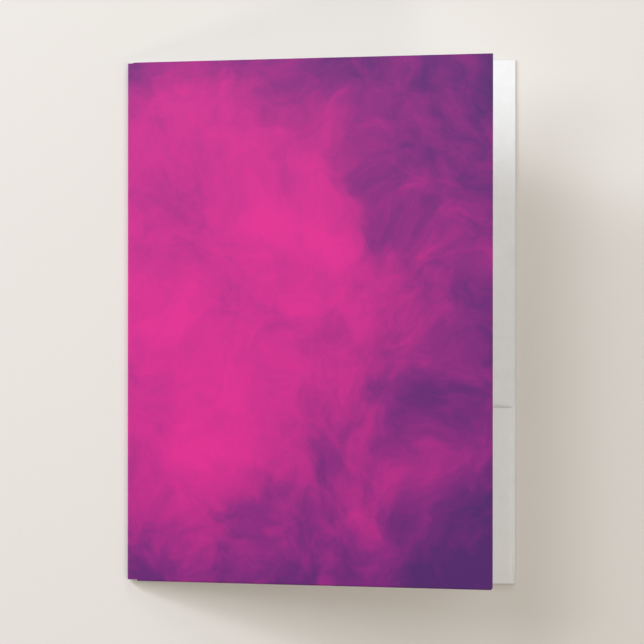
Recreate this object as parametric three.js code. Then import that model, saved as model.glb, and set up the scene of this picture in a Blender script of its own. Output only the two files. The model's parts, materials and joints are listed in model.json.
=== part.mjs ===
// A two-pocket document folder of scored and folded card, lying on its back cover with the front cover ajar.
// Sizes are in millimetres and +Z is up. X runs from the spine to the free edges and Y from the pockets' fold
// to the top edge. The origin is the centre of the footprint, on the table.
//
// The real folder is one die-cut sheet. Each panel, fold and flap between two score lines is a piece of its own.
import * as THREE from "three";

// The shut folder, outside, and the card that it is cut from.
const folderWidth = 228.6;
const folderHeight = 304.8;
const cardThickness = 0.4;

// How far the front cover stands open as the folder lies on a table.
const ajarDegrees = 14.5;

// A pocket, folded up from a cover's bottom edge.
const pocketHeight = 102.3;
const pocketEdgeInset = 1.6; // from the cover's free edge to the pocket's folded edge
const pocketCornerInset = 0.8; // the same at the bottom fold, where the pocket's edge flares out
const pocketFlareHeight = 9.5;
const pocketSpineInset = 5; // from the hinge line to the pocket's inner edge, at the bottom fold
const pocketNotchWidening = 3.2; // how much wider that is at the pocket's mouth
const pocketMouthRadius = 6; // the mouth's corner beside the spine

// The flap that holds a pocket's outer edge: it turns in behind the pocket and is glued to the cover.
const tabWidth = 19;
const tabTaper = 8; // height of each slanted end
const edgeFoldGap = 0.2; // between the pocket and the flap, inside their fold
const glueThickness = 0.15;
const glueWidth = 9;
const glueEndMargin = 5; // from the flap's tapered ends to the ends of the glue

// Four slits in the back cover's pocket hold a business card by its corners.
const businessCardWidth = 88.9;
const businessCardHeight = 50.8;
const slitReach = 15; // along each edge of the business card, from its corner
const slitOvershoot = 2; // past the business card, at each end
const slitWidth = 0.5;

// Folds and clearances.
const scoredStrip = 1.2; // flat card on each side of the spine's bend, up to the score line
const spineRelief = 0.5; // how much shorter the die cuts the spine than the covers, at its top end
const spineReliefRun = 2; // along each cover's top edge, from the score line to its full height
const seamGap = 0.05; // at a score line, between the pieces that it divides
const glueClearance = 0.05; // above and below the glue
const pocketClearance = 0.05; // from each pocket to the middle of the shut folder
const foldSegments = 14;

const pocketGap = glueThickness + 2 * glueClearance + cardThickness + edgeFoldGap;
const spineInner = pocketGap + cardThickness + pocketClearance;
const spineOuter = spineInner + cardThickness;
const coverWidth = folderWidth - spineOuter; // from the hinge line to the free edge
const bottomFoldInner = pocketGap / 2;
const bottomFoldOuter = bottomFoldInner + cardThickness;
const edgeFoldInner = edgeFoldGap / 2;
const edgeFoldOuter = edgeFoldInner + cardThickness;

// Heights in a half of the folder, measured from the hinge line towards the half's inside.
const coverOutside = -spineOuter;
const coverInside = -spineInner;
const pocketInside = coverInside + pocketGap;
const tabInside = pocketInside - edgeFoldGap;
const glueBottom = coverInside + glueClearance;

// Lines on the page. X starts at the hinge line.
const topEdge = folderHeight / 2;
const spineTop = topEdge - spineRelief;
const bottomFoldLine = -folderHeight / 2 + bottomFoldOuter;
const pocketMouth = -folderHeight / 2 + pocketHeight;
const pocketEdge = coverWidth - pocketEdgeInset;
const edgeFoldLine = pocketEdge - edgeFoldOuter;
const edgeFoldBottom = bottomFoldLine + pocketFlareHeight;

const printedCard = new THREE.MeshStandardMaterial({ color: 0xc2378c, roughness: 0.5, metalness: 0 });
const whiteCard = new THREE.MeshStandardMaterial({ color: 0xf3f1ee, roughness: 0.8, metalness: 0 });
const driedGlue = new THREE.MeshStandardMaterial({ color: 0xe6dfca, roughness: 0.45, metalness: 0 });

function extruded(shape, depth) {
  return new THREE.ExtrudeGeometry(shape, { depth, bevelEnabled: false, curveSegments: foldSegments });
}

// A flat piece: its outline on the page, its lowest height and its thickness.
function flatPiece(outline, bottom, thickness) {
  return extruded(outline, thickness).translate(0, 0, bottom);
}

// A section drawn in X and Z, swept along Y.
function sweptAlongY(section, fromY, toY) {
  return extruded(section, toY - fromY).rotateX(Math.PI / 2).translate(0, toY, 0);
}

// A section drawn in Y and Z, swept along X.
function sweptAlongX(section, fromX, toX) {
  return extruded(section, toX - fromX).rotateX(Math.PI / 2).rotateZ(Math.PI / 2).translate(fromX, 0, 0);
}

// Card bent round a centre, from one angle to a larger one.
function bentSection(centre, innerRadius, outerRadius, fromAngle, toAngle) {
  const section = new THREE.Shape();
  section.absarc(centre.x, centre.y, outerRadius, fromAngle, toAngle, false);
  section.absarc(centre.x, centre.y, innerRadius, toAngle, fromAngle, true);
  section.closePath();
  return section;
}

function outlineOf(points) {
  return new THREE.Shape(points.map(([x, y]) => new THREE.Vector2(x, y)));
}

function coverGeometry() {
  const outline = outlineOf([
    [scoredStrip + seamGap, bottomFoldLine],
    [coverWidth, bottomFoldLine],
    [coverWidth, topEdge],
    [scoredStrip + seamGap + spineReliefRun, topEdge],
    [scoredStrip + seamGap, spineTop],
  ]);
  return flatPiece(outline, coverOutside, cardThickness);
}

// The pocket's inner edge leans away from the spine, and its mouth turns into that edge with a round corner.
function pocketOutline() {
  const bottom = bottomFoldLine + seamGap;
  const innerBottom = new THREE.Vector2(pocketSpineInset, bottom);
  const innerTop = new THREE.Vector2(pocketSpineInset + pocketNotchWidening, pocketMouth);
  const towardsBottom = innerBottom.clone().sub(innerTop).normalize();
  const cornerAngle = Math.acos(towardsBottom.x);
  const tangentLength = pocketMouthRadius / Math.tan(cornerAngle / 2);
  const arcEnd = innerTop.clone().addScaledVector(towardsBottom, tangentLength);
  const centre = new THREE.Vector2(innerTop.x + tangentLength, pocketMouth - pocketMouthRadius);
  const outline = new THREE.Shape();
  outline.moveTo(innerBottom.x, innerBottom.y);
  outline.lineTo(coverWidth - pocketCornerInset, bottom);
  outline.lineTo(pocketEdge, edgeFoldBottom);
  outline.lineTo(edgeFoldLine - seamGap, edgeFoldBottom);
  outline.lineTo(edgeFoldLine - seamGap, pocketMouth);
  outline.lineTo(centre.x, pocketMouth);
  outline.absarc(
    centre.x,
    centre.y,
    pocketMouthRadius,
    Math.PI / 2,
    Math.atan2(arcEnd.y - centre.y, arcEnd.x - centre.x) + 2 * Math.PI,
    false,
  );
  outline.closePath();
  return outline;
}

// A slit with round ends, lying across a corner of the business card.
function slitOutline(cornerX, cornerY, sideX, sideY) {
  const along = new THREE.Vector2(-sideX, sideY).normalize();
  const middle = new THREE.Vector2(cornerX - (sideX * slitReach) / 2, cornerY - (sideY * slitReach) / 2);
  const halfLength = slitReach / Math.SQRT2 + slitOvershoot;
  const end = middle.clone().addScaledVector(along, halfLength);
  const start = middle.clone().addScaledVector(along, -halfLength);
  const heading = along.angle();
  const slit = new THREE.Path();
  slit.absarc(end.x, end.y, slitWidth / 2, heading - Math.PI / 2, heading + Math.PI / 2, false);
  slit.absarc(start.x, start.y, slitWidth / 2, heading + Math.PI / 2, heading + (3 * Math.PI) / 2, false);
  slit.closePath();
  return slit;
}

function pocketGeometry(holdsBusinessCard) {
  const outline = pocketOutline();
  if (holdsBusinessCard) {
    const centreX = (pocketSpineInset + pocketEdge) / 2;
    const centreY = (bottomFoldLine + pocketMouth) / 2;
    for (const sideX of [-1, 1]) {
      for (const sideY of [-1, 1]) {
        const cornerX = centreX + (sideX * businessCardWidth) / 2;
        const cornerY = centreY + (sideY * businessCardHeight) / 2;
        outline.holes.push(slitOutline(cornerX, cornerY, sideX, sideY));
      }
    }
  }
  return flatPiece(outline, pocketInside, cardThickness);
}

// The half-round fold that turns the cover's bottom edge up into the pocket.
function bottomFoldGeometry() {
  const centre = new THREE.Vector2(bottomFoldLine, coverInside + bottomFoldInner);
  const section = bentSection(centre, bottomFoldInner, bottomFoldOuter, Math.PI / 2, (3 * Math.PI) / 2);
  return sweptAlongX(section, pocketSpineInset, coverWidth - pocketCornerInset);
}

// The tight fold that turns the pocket's outer edge in under it.
function edgeFoldGeometry() {
  const centre = new THREE.Vector2(edgeFoldLine, tabInside + edgeFoldInner);
  const section = bentSection(centre, edgeFoldInner, edgeFoldOuter, -Math.PI / 2, Math.PI / 2);
  return sweptAlongY(section, edgeFoldBottom, pocketMouth);
}

function glueTabGeometry() {
  const outer = edgeFoldLine - seamGap;
  const inner = outer - tabWidth;
  const outline = outlineOf([
    [outer, edgeFoldBottom],
    [outer, pocketMouth],
    [inner, pocketMouth - tabTaper],
    [inner, edgeFoldBottom + tabTaper],
  ]);
  return flatPiece(outline, tabInside - cardThickness, cardThickness);
}

function glueLineGeometry() {
  const middle = edgeFoldLine - seamGap - tabWidth / 2;
  const bottom = edgeFoldBottom + tabTaper + glueEndMargin;
  const top = pocketMouth - tabTaper - glueEndMargin;
  const outline = outlineOf([
    [middle - glueWidth / 2, bottom],
    [middle + glueWidth / 2, bottom],
    [middle + glueWidth / 2, top],
    [middle - glueWidth / 2, top],
  ]);
  return flatPiece(outline, glueBottom, glueThickness);
}

// The bend between the covers, with the flat strip on each side of it that runs to the score line.
function spineFoldGeometry(openAngle) {
  const section = new THREE.Shape();
  const frontAngle = openAngle + Math.PI / 2;
  const away = new THREE.Vector2(Math.cos(openAngle), Math.sin(openAngle)).multiplyScalar(scoredStrip);
  const square = new THREE.Vector2(Math.cos(frontAngle), Math.sin(frontAngle));
  const outerCorner = square.clone().multiplyScalar(spineOuter).add(away);
  const innerCorner = square.clone().multiplyScalar(spineInner).add(away);
  section.moveTo(scoredStrip, coverOutside);
  section.lineTo(scoredStrip, coverInside);
  section.absarc(0, 0, spineInner, (3 * Math.PI) / 2, frontAngle, true);
  section.lineTo(innerCorner.x, innerCorner.y);
  section.lineTo(outerCorner.x, outerCorner.y);
  section.absarc(0, 0, spineOuter, frontAngle, (3 * Math.PI) / 2, false);
  section.closePath();
  return sweptAlongY(section, bottomFoldLine, spineTop);
}

function piece(name, geometry, material) {
  const mesh = new THREE.Mesh(geometry, material);
  mesh.name = name;
  return mesh;
}

// One cover with all that is folded and glued to it. The hinge line is its own Y axis.
function folderHalf(side, holdsBusinessCard) {
  const half = new THREE.Group();
  half.add(
    piece(`${side}_cover`, coverGeometry(), printedCard),
    piece(`${side}_pocket`, pocketGeometry(holdsBusinessCard), whiteCard),
    piece(`${side}_pocket_bottom_fold`, bottomFoldGeometry(), whiteCard),
    piece(`${side}_pocket_edge_fold`, edgeFoldGeometry(), whiteCard),
    piece(`${side}_pocket_glue_tab`, glueTabGeometry(), whiteCard),
    piece(`${side}_pocket_glue_line`, glueLineGeometry(), driedGlue),
  );
  return half;
}

const ajarAngle = THREE.MathUtils.degToRad(ajarDegrees);

const backHalf = folderHalf("back", true);

// The front half is the back half's mirror image, turned about the hinge line.
const frontHalf = folderHalf("front", false);
frontHalf.scale.z = -1;
frontHalf.rotation.y = -ajarAngle;

const folder = new THREE.Group();
folder.add(backHalf, frontHalf, piece("spine_fold", spineFoldGeometry(ajarAngle), printedCard));
folder.position.set(spineOuter - folderWidth / 2, 0, spineOuter);

export default folder;
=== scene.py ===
# Dresses the document folder: its scored and folded card, the print, the dried glue, the light and camera.
# Lengths are in metres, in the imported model's frame. X runs from the spine to the free edges, Y from the
# pockets' folds to the top edge, and Z up from the table.
import json
import math
from collections import namedtuple

import bmesh
import bpy
from mathutils import Matrix, Vector
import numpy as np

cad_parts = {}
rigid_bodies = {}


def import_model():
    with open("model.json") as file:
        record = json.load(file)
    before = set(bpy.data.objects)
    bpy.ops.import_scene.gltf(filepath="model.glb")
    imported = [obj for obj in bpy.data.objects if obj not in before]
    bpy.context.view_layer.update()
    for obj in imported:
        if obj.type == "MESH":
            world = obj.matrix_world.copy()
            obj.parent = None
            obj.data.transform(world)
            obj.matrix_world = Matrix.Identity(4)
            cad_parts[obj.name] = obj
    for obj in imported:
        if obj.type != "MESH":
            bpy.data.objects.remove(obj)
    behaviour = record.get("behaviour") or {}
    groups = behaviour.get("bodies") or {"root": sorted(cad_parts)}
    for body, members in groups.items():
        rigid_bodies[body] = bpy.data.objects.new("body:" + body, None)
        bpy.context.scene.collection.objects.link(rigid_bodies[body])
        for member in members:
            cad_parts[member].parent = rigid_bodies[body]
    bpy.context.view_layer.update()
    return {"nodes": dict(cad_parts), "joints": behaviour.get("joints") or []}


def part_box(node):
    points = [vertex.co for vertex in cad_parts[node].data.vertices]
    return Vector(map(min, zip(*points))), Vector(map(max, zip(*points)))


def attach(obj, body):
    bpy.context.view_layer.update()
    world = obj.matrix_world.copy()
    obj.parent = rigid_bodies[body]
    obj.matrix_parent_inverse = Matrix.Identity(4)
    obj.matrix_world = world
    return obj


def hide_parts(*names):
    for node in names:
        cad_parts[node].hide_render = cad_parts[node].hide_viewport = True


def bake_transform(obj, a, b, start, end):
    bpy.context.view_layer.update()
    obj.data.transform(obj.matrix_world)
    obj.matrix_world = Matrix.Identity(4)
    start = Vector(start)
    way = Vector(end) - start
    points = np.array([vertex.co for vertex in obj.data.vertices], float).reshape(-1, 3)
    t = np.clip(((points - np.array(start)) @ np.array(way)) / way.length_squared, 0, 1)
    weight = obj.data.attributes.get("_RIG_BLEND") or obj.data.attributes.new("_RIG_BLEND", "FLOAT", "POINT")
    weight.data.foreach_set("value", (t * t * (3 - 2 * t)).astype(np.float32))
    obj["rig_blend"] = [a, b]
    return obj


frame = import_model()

MM = 0.001

# The photograph's camera, found from the folder's corners. It looks down almost square to the table.
PHOTO_WIDTH = 644
FOCAL_LENGTH = 4085.5  # in pixels of the photograph
SENSOR_WIDTH = 36.0
CAMERA_DISTANCE = 2392.2 * MM
CAMERA_TURN = math.radians(7.607)  # towards the free edges
CAMERA_TILT = math.radians(-0.047)
CAMERA_ROLL = math.radians(0.04)
CAMERA_TARGET = Vector((0.78 * MM, -0.14 * MM, 0))
NEAREST_SEEN = 0.1
FURTHEST_SEEN = 20.0

# The light: a wide soft lamp at the upper left with a small one below it, two faint ones beyond the top edge
# and beyond the pocket's corner, one nearly overhead, and an even fill. The first three are slightly cool and
# the others slightly warm. Angles are in degrees, and the azimuth is counted from the X axis. A lamp's level
# is about the share of white that it gives on the table.
COOL_WHITE = (0.943, 1.01, 1.074)
WARM_WHITE = (1.058, 0.995, 0.879)
Lamp = namedtuple("Lamp", "name azimuth elevation width height level colour")
LAMPS = (
    Lamp("key_lamp", 134, 46, 2.6, 0.9, 0.246, COOL_WHITE),
    Lamp("low_key_lamp", 143, 17, 0.6, 0.6, 0.169, COOL_WHITE),
    Lamp("top_edge_lamp", 75, 21.5, 0.9, 0.9, 0.072, COOL_WHITE),
    Lamp("corner_lamp", 315, 38, 0.7, 0.6, 0.066, WARM_WHITE),
    Lamp("overhead_lamp", 355, 66, 1.8, 1.8, 0.073, WARM_WHITE),
)
LAMP_DISTANCE = 3.0
FILL_LEVEL = 0.346
FLOOR_SIZE = 16.0
FLOOR_DROP = 0.3 * MM  # card never lies quite flat, so its cut edge stands a hair off the table
FLOOR_COLOUR = "#eee9e5"
FLOOR_ROUGHNESS = 0.9

# The card. A pocket is held at its two folds, so between them it stands off its flat place. Beside the outer
# fold it rises in a soft crease, and its mouth springs open further, most near that fold and hardly at all
# near the spine.
AJAR = math.radians(14.5)
CREASE_RISE = 0.5 * MM
CREASE_WIDTH = 1.1 * MM
CREASE_END = 8 * MM  # from the bottom fold, where the crease flattens out
MOUTH_RISE = 0.8 * MM
MOUTH_SLOPE = 11 * MM  # from the outer fold, where the mouth starts to come down to it
MOUTH_DEPTH = 75 * MM  # from the mouth down into the pocket
STRIPS = 4  # that the crease bends in, and as many more for the slope beside it
STRIP_HEIGHT = 4 * MM  # of those that the pocket bends in from its mouth down
ROUNDED_EDGE = 0.05 * MM  # how far the die's cut edges are rounded
SAME_POINT = 0.001 * MM
SAME_PLANE = math.radians(1)
SHARP = math.radians(30)
FACING = 0.7  # how squarely a face looks the way of its side of the sheet

# The folder's own lines and heights, from the frame.
hinge = frame["joints"][0]
hinge_line = Vector(hinge["pos_m"])
back_body = hinge["parent"]
front_body = hinge["child"]

cover_low, cover_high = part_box("back_cover")
spine_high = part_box("spine_fold")[1]
pocket_low, pocket_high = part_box("back_pocket")
bottom_low, bottom_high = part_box("back_pocket_bottom_fold")
edge_low, edge_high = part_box("back_pocket_edge_fold")
tab_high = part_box("back_pocket_glue_tab")[1]

spine_radius = hinge_line.z - (cover_low.z + cover_high.z) / 2
half_spine = spine_radius * (math.pi - AJAR) / 2  # half the length of card in the bend

# Score lines. The solids leave a gap of a hair at each, and a piece's end is moved across it to its
# neighbour. Each seam gives the axis that it crosses, the line that the piece ends on and the neighbour's.
cover_start = cover_low.x - hinge_line.x
strip_end = spine_high.x - hinge_line.x
bottom_line = bottom_high.y
bottom_centre = (bottom_low.z + bottom_high.z) / 2 - hinge_line.z
edge_line = edge_low.x - hinge_line.x
edge_centre = (edge_low.z + edge_high.z) / 2 - hinge_line.z
mouth_line = pocket_high.y
SEAMS = (
    (0, cover_start, strip_end),
    (0, tab_high.x - hinge_line.x, edge_line),
    (1, pocket_low.y, bottom_line),
)
SCORES = [(axis, end) for axis, start, end in SEAMS]

# One cover and its pocket: the direction from the hinge line along the cover, and the one into the folder.
Half = namedtuple("Half", "name body along inside turn")
UPWARDS = Vector((0, 0, 1))
HALVES = (
    Half("back", back_body, Vector((1, 0, 0)), UPWARDS, -1),
    Half(
        "front",
        front_body,
        Vector((math.cos(AJAR), 0, math.sin(AJAR))),
        Vector((math.sin(AJAR), 0, -math.cos(AJAR))),
        1,
    ),
)
BACK, FRONT = HALVES


def place(half, point):
    """A point's distance from the hinge line, its Y and its height towards the folder's inside."""
    away = point - hinge_line
    return Vector((away.dot(half.along), away.y, away.dot(half.inside)))


def direction(half, vector):
    """A direction in the same three terms."""
    return Vector((vector.dot(half.along), vector.y, vector.dot(half.inside)))


def axis_of(half, axis):
    return (half.along, Vector((0, 1, 0)), half.inside)[axis]


def half_at(point):
    """The half that a point of the spine belongs to."""
    return FRONT if point.z > hinge_line.z else BACK


def turn_share(point):
    """How far round the spine's bend a point lies: 0 at the back cover and 1 at the front cover."""
    if place(half_at(point), point).x > 0:
        return 1.0 if half_at(point) is FRONT else 0.0
    away = point - hinge_line
    angle = math.atan2(-away.x, -away.z)
    return min(max(angle / (math.pi - AJAR), 0.0), 1.0)


# Colours and shader nodes.


def srgb(hex_colour):
    """A linear colour, from the sRGB hex value that it looks like."""
    channels = [int(hex_colour[i:i + 2], 16) / 255 for i in (1, 3, 5)]
    return [c / 12.92 if c <= 0.04045 else ((c + 0.055) / 1.055) ** 2.4 for c in channels] + [1.0]


def add(tree, kind, settings=None, inputs=None):
    """A node of a material, with its settings, and for each input a value or the output that feeds it."""
    node = tree.nodes.new(kind)
    for name, value in (settings or {}).items():
        setattr(node, name, value)
    for name, value in (inputs or {}).items():
        if isinstance(value, bpy.types.NodeSocket):
            tree.links.new(value, node.inputs[name])
        else:
            node.inputs[name].default_value = value
    return node


def new_material(name):
    """An empty material, its node tree and its surface's shader."""
    material = bpy.data.materials.new(name)
    material.use_nodes = True
    tree = material.node_tree
    tree.nodes.clear()
    shader = add(tree, "ShaderNodeBsdfPrincipled")
    add(tree, "ShaderNodeOutputMaterial", inputs={"Surface": shader.outputs[0]})
    return material, tree, shader


def set_stops(ramp, stops):
    """Gives a colour ramp its stops: a position and a colour each."""
    elements = ramp.color_ramp.elements
    while len(elements) < len(stops):
        elements.new(1.0)
    for element, (position, colour) in zip(elements, stops):
        element.position = position
        element.color = colour


def per(length):
    """The scale of a pattern whose features are that long."""
    return 1 / length


def give_tooth(tree, shader, surface, fibre, depth, strength):
    """Raises a surface's fibres: their size, their depth and how far they show."""
    fibres = add(
        tree,
        "ShaderNodeTexNoise",
        inputs={"Vector": surface, "Scale": per(fibre), "Detail": 3.0, "Roughness": 0.6},
    )
    bump = add(
        tree,
        "ShaderNodeBump",
        inputs={"Strength": strength, "Distance": depth, "Height": fibres.outputs[0]},
    )
    tree.links.new(bump.outputs[0], shader.inputs["Normal"])


# In the materials, a noise texture's values lie mostly between these two.
NOISE_LOW = 0.3
NOISE_HIGH = 0.7

# Cover board, offset printed from edge to edge in a cloud pattern and sealed with a satin coating. The ink
# lies dense and even on the white board, and the coating adds a broad, dull shine, so the inks are written a
# little deeper than they look.
INKS = (
    (0.0, "#4d1267"),
    (0.16, "#691271"),
    (0.33, "#8c157c"),
    (0.48, "#ae1883"),
    (0.64, "#c61a89"),
    (0.9, "#dd1c8d"),
)
# The clouds' size, and how far two noises push them about.
CLOUD_SIZE = 80 * MM
CLOUD_CONTRAST = 1.65
DRIFT_SIZE = 120 * MM
DRIFT_REACH = 90 * MM
CURL_SIZE = 34 * MM
CURL_REACH = 30 * MM

# The print is brightest round a place on the front cover, given from the middle of the spine, and darkens
# away from there. The clouds are shifted by one tone in that glow and by the other outside it.
GLOW_MIDDLE = (100 * MM, 60 * MM, 0.0)
GLOW_START = 50 * MM
GLOW_END = 205 * MM
GLOW_TONE = -0.1
EDGE_TONE = -0.72

GRAIN_SIZE = 1 * MM
GRAIN_TONE = 0.03
COATING_GLOSSIER = 0.44
COATING_DULLER = 0.54
COATING_IOR = 1.42
# The coated board's tooth, drawn coarser than the real one so that it shows.
TOOTH_SIZE = 0.9 * MM
TOOTH_DEPTH = 0.01 * MM
TOOTH_STRENGTH = 0.35


def offset_printed_board():
    material, tree, shader = new_material("offset_printed_board")
    sheet = add(tree, "ShaderNodeUVMap", {"uv_map": "sheet"}).outputs[0]
    # Two noises push the clouds' coordinates about, first broadly and then in curls, which draws out wisps.
    drift = add(
        tree,
        "ShaderNodeTexNoise",
        inputs={"Vector": sheet, "Scale": per(DRIFT_SIZE), "Detail": 3.0},
    )
    drifted = add(
        tree,
        "ShaderNodeVectorMath",
        {"operation": "MULTIPLY_ADD"},
        {0: drift.outputs["Color"], 1: (DRIFT_REACH, DRIFT_REACH, 0.0), 2: sheet},
    ).outputs[0]
    curl = add(
        tree,
        "ShaderNodeTexNoise",
        inputs={"Vector": drifted, "Scale": per(CURL_SIZE), "Detail": 5.0, "Roughness": 0.55},
    )
    curled = add(
        tree,
        "ShaderNodeVectorMath",
        {"operation": "MULTIPLY_ADD"},
        {0: curl.outputs["Color"], 1: (CURL_REACH, CURL_REACH, 0.0), 2: drifted},
    ).outputs[0]
    clouds = add(
        tree,
        "ShaderNodeTexNoise",
        inputs={"Vector": curled, "Scale": per(CLOUD_SIZE), "Detail": 9.0, "Roughness": 0.66},
    )
    middle = add(
        tree,
        "ShaderNodeVectorMath",
        {"operation": "DISTANCE"},
        {0: drifted, 1: GLOW_MIDDLE},
    )
    glow = add(
        tree,
        "ShaderNodeMapRange",
        {"interpolation_type": "SMOOTHSTEP"},
        {
            "Value": middle.outputs["Value"],
            "From Min": GLOW_START,
            "From Max": GLOW_END,
            "To Min": GLOW_TONE,
            "To Max": EDGE_TONE,
        },
    )
    tone = add(
        tree,
        "ShaderNodeMath",
        {"operation": "MULTIPLY_ADD"},
        {0: clouds.outputs[0], 1: CLOUD_CONTRAST, 2: glow.outputs[0]},
    )
    # The board's tooth shows through the ink as a faint grain. It is drawn about 1 mm wide, which is coarser
    # than it is, because the real one is too fine to show.
    grain = add(
        tree,
        "ShaderNodeTexNoise",
        inputs={"Vector": sheet, "Scale": per(GRAIN_SIZE), "Detail": 2.0},
    )
    grained = add(
        tree,
        "ShaderNodeMath",
        {"operation": "MULTIPLY_ADD"},
        {0: grain.outputs[0], 1: GRAIN_TONE, 2: tone.outputs[0]},
    )
    ink = add(tree, "ShaderNodeValToRGB", inputs={"Fac": grained.outputs[0]})
    set_stops(ink, [(position, srgb(colour)) for position, colour in INKS])
    tree.links.new(ink.outputs[0], shader.inputs["Base Color"])
    # The coating lies a little more matt where the board is more open.
    coating = add(
        tree,
        "ShaderNodeMapRange",
        inputs={
            "Value": grain.outputs[0],
            "From Min": NOISE_LOW,
            "From Max": NOISE_HIGH,
            "To Min": COATING_GLOSSIER,
            "To Max": COATING_DULLER,
        },
    )
    tree.links.new(coating.outputs[0], shader.inputs["Roughness"])
    shader.inputs["IOR"].default_value = COATING_IOR
    give_tooth(tree, shader, sheet, TOOTH_SIZE, TOOTH_DEPTH, TOOTH_STRENGTH)
    return material


# Bleached board: long fibres lie every way in the sheet, which gives soft clouds some millimetres wide and
# finer fibres within them. Each finish takes its two colours, its gloss and its tooth from how its side was
# made.
FORMATION_SIZE = 7 * MM


def white_board(name, thin, dense, glossier, duller, fibre, depth, strength):
    material, tree, shader = new_material(name)
    sheet = add(tree, "ShaderNodeUVMap", {"uv_map": "sheet"}).outputs[0]
    formation = add(
        tree,
        "ShaderNodeTexNoise",
        inputs={"Vector": sheet, "Scale": per(FORMATION_SIZE), "Detail": 5.0, "Roughness": 0.65},
    )
    colour = add(tree, "ShaderNodeValToRGB", inputs={"Fac": formation.outputs[0]})
    set_stops(colour, [(NOISE_LOW, srgb(thin)), (NOISE_HIGH, srgb(dense))])
    tree.links.new(colour.outputs[0], shader.inputs["Base Color"])
    gloss = add(
        tree,
        "ShaderNodeMapRange",
        inputs={
            "Value": formation.outputs[0],
            "From Min": NOISE_LOW,
            "From Max": NOISE_HIGH,
            "To Min": duller,
            "To Max": glossier,
        },
    )
    tree.links.new(gloss.outputs[0], shader.inputs["Roughness"])
    give_tooth(tree, shader, sheet, fibre, depth, strength)
    return material


# The sheet's outer side where it isn't printed, on the pockets: a smooth clay coating, satin and very white.
def coated_white_board():
    return white_board(
        "coated_white_board",
        thin="#f3f3f5",
        dense="#f7f7f9",
        glossier=0.52,
        duller=0.62,
        fibre=TOOTH_SIZE,
        depth=TOOTH_DEPTH,
        strength=TOOTH_STRENGTH,
    )


# The sheet's uncoated side, inside the covers and the pockets: open fibres, matt, with a tooth that is drawn
# coarser than the real one so that it shows.
def uncoated_white_board():
    return white_board(
        "uncoated_white_board",
        thin="#f4f4f6",
        dense="#f9f9fb",
        glossier=0.75,
        duller=0.88,
        fibre=0.6 * MM,
        depth=0.02 * MM,
        strength=0.5,
    )


# The board's core where the die cut it: the ends of fibres pressed in plies, matt and a little creamier.
PLY_SIZE = 0.3 * MM
CUT_EDGE_ROUGHNESS = 0.9


def die_cut_board_edge():
    material, tree, shader = new_material("die_cut_board_edge")
    solid = add(tree, "ShaderNodeTexCoord").outputs["Object"]
    plies = add(
        tree,
        "ShaderNodeTexNoise",
        inputs={"Vector": solid, "Scale": per(PLY_SIZE), "Detail": 4.0, "Roughness": 0.6},
    )
    colour = add(tree, "ShaderNodeValToRGB", inputs={"Fac": plies.outputs[0]})
    set_stops(colour, [(NOISE_LOW, srgb("#e4e0d6")), (NOISE_HIGH, srgb("#f1eee7"))])
    tree.links.new(colour.outputs[0], shader.inputs["Base Color"])
    shader.inputs["Roughness"].default_value = CUT_EDGE_ROUGHNESS
    give_tooth(tree, shader, solid, fibre=0.15 * MM, depth=0.02 * MM, strength=0.6)
    return material


# White paper glue, dried to a thin film: slightly yellow, and deeper in colour and glossier in the ripples
# where it was squeezed out thicker.
RIPPLE_SIZE = 3 * MM
GLUE_DULLER = 0.45
GLUE_GLOSSIER = 0.28


def dried_paper_glue():
    material, tree, shader = new_material("dried_paper_glue")
    solid = add(tree, "ShaderNodeTexCoord").outputs["Object"]
    ripples = add(
        tree,
        "ShaderNodeTexNoise",
        inputs={"Vector": solid, "Scale": per(RIPPLE_SIZE), "Detail": 3.0, "Distortion": 0.6},
    )
    colour = add(tree, "ShaderNodeValToRGB", inputs={"Fac": ripples.outputs[0]})
    set_stops(colour, [(NOISE_LOW, srgb("#eeead9")), (NOISE_HIGH, srgb("#ded5ba"))])
    tree.links.new(colour.outputs[0], shader.inputs["Base Color"])
    gloss = add(
        tree,
        "ShaderNodeMapRange",
        inputs={
            "Value": ripples.outputs[0],
            "From Min": NOISE_LOW,
            "From Max": NOISE_HIGH,
            "To Min": GLUE_DULLER,
            "To Max": GLUE_GLOSSIER,
        },
    )
    tree.links.new(gloss.outputs[0], shader.inputs["Roughness"])
    give_tooth(tree, shader, solid, fibre=2 * MM, depth=0.03 * MM, strength=0.5)
    return material


PRINTED = offset_printed_board()
COATED = coated_white_board()
UNCOATED = uncoated_white_board()
CUT_EDGE = die_cut_board_edge()
GLUE = dried_paper_glue()

# For each kind of piece, the way that the sheet's printed side faces, from a place on the piece.


def faces_out(spot):
    return Vector((0, 0, -1))


def faces_in(spot):
    return Vector((0, 0, 1))


def round_bottom_fold(spot):
    return Vector((0, spot.y - bottom_line, spot.z - bottom_centre)).normalized()


def round_edge_fold(spot):
    return Vector((spot.x - edge_line, 0, spot.z - edge_centre)).normalized()


def round_spine(spot):
    return Vector((min(spot.x, 0), 0, spot.z)).normalized()


def is_printed(facing, spot):
    """The print covers the covers and the spine, and ends half-way round each pocket's bottom fold."""
    if facing is round_bottom_fold:
        return spot.z < bottom_centre
    return facing in (faces_out, round_spine)


def finish_of(face, half, facing):
    """The finish of a face: the sheet's printed or coated side, its plain side, or a cut edge."""
    spot = place(half, face.calc_center_median())
    side = direction(half, face.normal).dot(facing(spot))
    if side < -FACING:
        return UNCOATED
    if side < FACING:
        return CUT_EDGE
    return PRINTED if is_printed(facing, spot) else COATED


def close_seams(mesh, half):
    for axis, start, end in SEAMS:
        for vertex in mesh.verts:
            if abs(place(half, vertex.co)[axis] - start) < SAME_POINT:
                vertex.co += axis_of(half, axis) * (end - start)


def sheet_place(point, half):
    """Where a point lies on the sheet before it is folded, measured from the middle of the spine."""
    spot = place(half, point)
    if spot.x > 0:
        return half.turn * (spot.x + half_spine), point.y
    return (2 * turn_share(point) - 1) * half_spine, point.y


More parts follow.
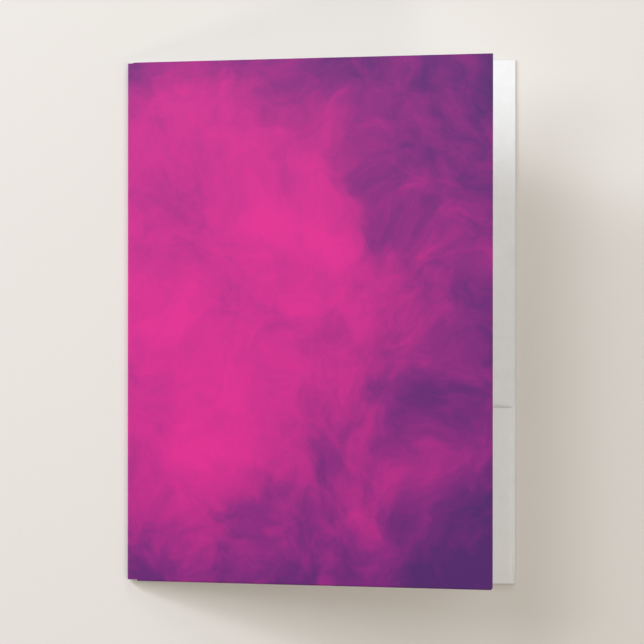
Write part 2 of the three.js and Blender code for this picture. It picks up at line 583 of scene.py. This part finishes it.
def merged_copy(node):
    """The node's solid as one clean mesh: its triangles joined at their corners and its flat faces whole."""
    mesh = bmesh.new()
    mesh.from_mesh(frame["nodes"][node].data)
    bmesh.ops.remove_doubles(mesh, verts=mesh.verts, dist=SAME_POINT)
    bmesh.ops.dissolve_limit(mesh, angle_limit=SAME_PLANE, verts=mesh.verts, edges=mesh.edges)
    return mesh


def meets_neighbour(face, half):
    """Whether a face lies on a score line, where the sheet runs on into the next piece."""
    spot = place(half, face.calc_center_median())
    normal = direction(half, face.normal)
    return any(abs(spot[axis] - line) < SAME_POINT and abs(normal[axis]) > FACING for axis, line in SCORES)


def round_edges(mesh, inner_ends=frozenset()):
    """Rounds every cut edge but those of the ends at score lines, and keeps the faces beside them flat."""
    corners = [
        edge
        for edge in mesh.edges
        if edge.calc_face_angle(0) > SHARP and inner_ends.isdisjoint(edge.link_faces)
    ]
    made = bmesh.ops.bevel(
        mesh,
        geom=corners,
        offset=ROUNDED_EDGE,
        segments=2,
        profile=0.5,
        affect="EDGES",
        material=-1,
    )
    rounded = set(made["faces"])
    for face in mesh.faces:
        face.smooth = True
    for edge in mesh.edges:
        kinds = {face in rounded for face in edge.link_faces}
        edge.smooth = kinds == {True} or (kinds == {False} and edge.calc_face_angle(0) < SHARP)


def new_piece(name, mesh, materials):
    data = bpy.data.meshes.new(name)
    mesh.to_mesh(data)
    mesh.free()
    for material in materials:
        data.materials.append(material)
    piece = bpy.data.objects.new(name, data)
    bpy.context.scene.collection.objects.link(piece)
    return piece


def card_piece(node, facing, half=None, springs_open=False):
    """A piece of card in the place of a node, with its printed, coated, plain and cut faces."""

    def half_here(point):
        return half or half_at(point)

    mesh = merged_copy(node)
    if half:
        close_seams(mesh, half)
    if springs_open:
        cut_in_strips(mesh, half)
    materials = []
    inner_ends = set()
    for face in mesh.faces:
        here = half_here(face.calc_center_median())
        material = finish_of(face, here, facing)
        if material not in materials:
            materials.append(material)
        face.material_index = materials.index(material)
        if meets_neighbour(face, here):
            inner_ends.add(face)
    round_edges(mesh, inner_ends)
    sheet = mesh.loops.layers.uv.new("sheet")
    for face in mesh.faces:
        for loop in face.loops:
            loop[sheet].uv = sheet_place(loop.vert.co, half_here(loop.vert.co))
    if springs_open:
        for vertex in mesh.verts:
            vertex.co += half.inside * pocket_rise(place(half, vertex.co))
    piece = new_piece(f"{node}_card", mesh, materials)
    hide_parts(node)
    return piece


def cut_in_strips(mesh, half):
    """Cuts a pocket's panel along the lines that it bends on, beside its outer fold and below its mouth."""
    shares = [step / STRIPS for step in range(1, STRIPS + 1)]
    beside_fold = [edge_line - CREASE_WIDTH * share for share in shares]
    beside_fold += [edge_line - CREASE_WIDTH - (MOUTH_SLOPE - CREASE_WIDTH) * share for share in shares]
    rows = int((mouth_line - bottom_line) / STRIP_HEIGHT)
    below_mouth = [mouth_line - STRIP_HEIGHT * row for row in range(1, rows)]
    for axis, lines in ((0, beside_fold), (1, below_mouth)):
        for line in lines:
            bmesh.ops.bisect_plane(
                mesh,
                geom=mesh.verts[:] + mesh.edges[:] + mesh.faces[:],
                dist=SAME_POINT,
                plane_co=hinge_line + axis_of(half, axis) * line,
                plane_no=axis_of(half, axis),
            )


def smooth_step(share):
    share = min(max(share, 0), 1)
    return share * share * (3 - 2 * share)


def pocket_rise(spot):
    """How far a pocket stands off its flat place: more with distance from the spine, nothing at its folds."""
    from_edge = edge_line - spot.x
    from_bottom = spot.y - bottom_line
    from_mouth = mouth_line - spot.y
    crease = CREASE_RISE * smooth_step(from_edge / CREASE_WIDTH) * smooth_step(from_bottom / CREASE_END)
    mouth = MOUTH_RISE * smooth_step(from_edge / MOUTH_SLOPE) * smooth_step(1 - from_mouth / MOUTH_DEPTH)
    return (crease + mouth) * min(spot.x / (edge_line - MOUTH_SLOPE), 1)


def glue_piece(node):
    mesh = merged_copy(node)
    round_edges(mesh)
    piece = new_piece(f"{node}_film", mesh, [GLUE])
    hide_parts(node)
    return piece


def folder_half(half):
    pieces = [
        card_piece(f"{half.name}_cover", faces_out, half),
        card_piece(f"{half.name}_pocket", faces_in, half, springs_open=half is BACK),
        card_piece(f"{half.name}_pocket_bottom_fold", round_bottom_fold, half),
        card_piece(f"{half.name}_pocket_edge_fold", round_edge_fold, half),
        card_piece(f"{half.name}_pocket_glue_tab", faces_out, half),
        glue_piece(f"{half.name}_pocket_glue_line"),
    ]
    for piece in pieces:
        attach(piece, half.body)


def spine_bend():
    """The spine opens evenly as the covers part: each point turns by its share of the way round the bend."""
    piece = card_piece("spine_fold", round_spine)
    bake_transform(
        piece,
        back_body,
        front_body,
        start=(hinge_line.x, 0, cover_low.z),
        end=(hinge_line.x, 0, spine_high.z),
    )
    shares = piece.data.attributes["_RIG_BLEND"].data
    for vertex, share in zip(piece.data.vertices, shares):
        share.value = turn_share(vertex.co)


# The table, the light and the camera.


# Pale painted board: matt and even, and slightly warm beside the card's white.
def pale_floor():
    material, tree, shader = new_material("pale_painted_board")
    shader.inputs["Base Color"].default_value = srgb(FLOOR_COLOUR)
    shader.inputs["Roughness"].default_value = FLOOR_ROUGHNESS
    mesh = bmesh.new()
    bmesh.ops.create_grid(mesh, x_segments=1, y_segments=1, size=FLOOR_SIZE / 2)
    bmesh.ops.translate(mesh, vec=(0, 0, -FLOOR_DROP), verts=mesh.verts)
    new_piece("floor", mesh, [material])


def fill_light():
    world = bpy.data.worlds.new("even_fill")
    world.use_nodes = True
    tree = world.node_tree
    tree.nodes.clear()
    fill = add(tree, "ShaderNodeBackground", inputs={"Color": (*WARM_WHITE, 1.0), "Strength": FILL_LEVEL})
    add(tree, "ShaderNodeOutputWorld", inputs={"Surface": fill.outputs[0]})
    bpy.context.scene.world = world


def studio_lamp(lamp):
    """A soft box that faces the folder, with the power that gives its level on the table."""
    azimuth = math.radians(lamp.azimuth)
    elevation = math.radians(lamp.elevation)
    level = Vector((math.cos(azimuth), math.sin(azimuth), 0))
    towards = level * math.cos(elevation) + UPWARDS * math.sin(elevation)
    sideways = UPWARDS.cross(towards).normalized()
    turned = Matrix((sideways, towards.cross(sideways), towards)).transposed()
    light = bpy.data.lights.new(lamp.name, "AREA")
    light.shape = "RECTANGLE"
    light.size = lamp.width
    light.size_y = lamp.height
    light.color = lamp.colour
    light.energy = lamp.level * math.pi ** 2 * LAMP_DISTANCE ** 2 / towards.z
    holder = bpy.data.objects.new(lamp.name, light)
    holder.matrix_world = Matrix.Translation(towards * LAMP_DISTANCE) @ turned.to_4x4()
    bpy.context.scene.collection.objects.link(holder)


def photo_camera():
    backwards = Vector(
        (
            math.sin(CAMERA_TURN) * math.cos(CAMERA_TILT),
            math.sin(CAMERA_TILT),
            math.cos(CAMERA_TURN) * math.cos(CAMERA_TILT),
        )
    )
    right = Vector((0, 1, 0)).cross(backwards).normalized()
    up = backwards.cross(right)
    turned = Matrix((right, up, backwards)).transposed() @ Matrix.Rotation(CAMERA_ROLL, 3, "Z")
    camera = bpy.data.cameras.new("photo_camera")
    camera.sensor_width = SENSOR_WIDTH
    camera.lens = FOCAL_LENGTH / PHOTO_WIDTH * SENSOR_WIDTH
    camera.clip_start = NEAREST_SEEN
    camera.clip_end = FURTHEST_SEEN
    holder = bpy.data.objects.new("photo_camera", camera)
    holder.matrix_world = Matrix.Translation(CAMERA_TARGET + backwards * CAMERA_DISTANCE) @ turned.to_4x4()
    bpy.context.scene.collection.objects.link(holder)
    bpy.context.scene.camera = holder


for half in HALVES:
    folder_half(half)
spine_bend()
pale_floor()
fill_light()
for lamp in LAMPS:
    studio_lamp(lamp)
photo_camera()
bpy.context.scene.view_settings.view_transform = "Standard"
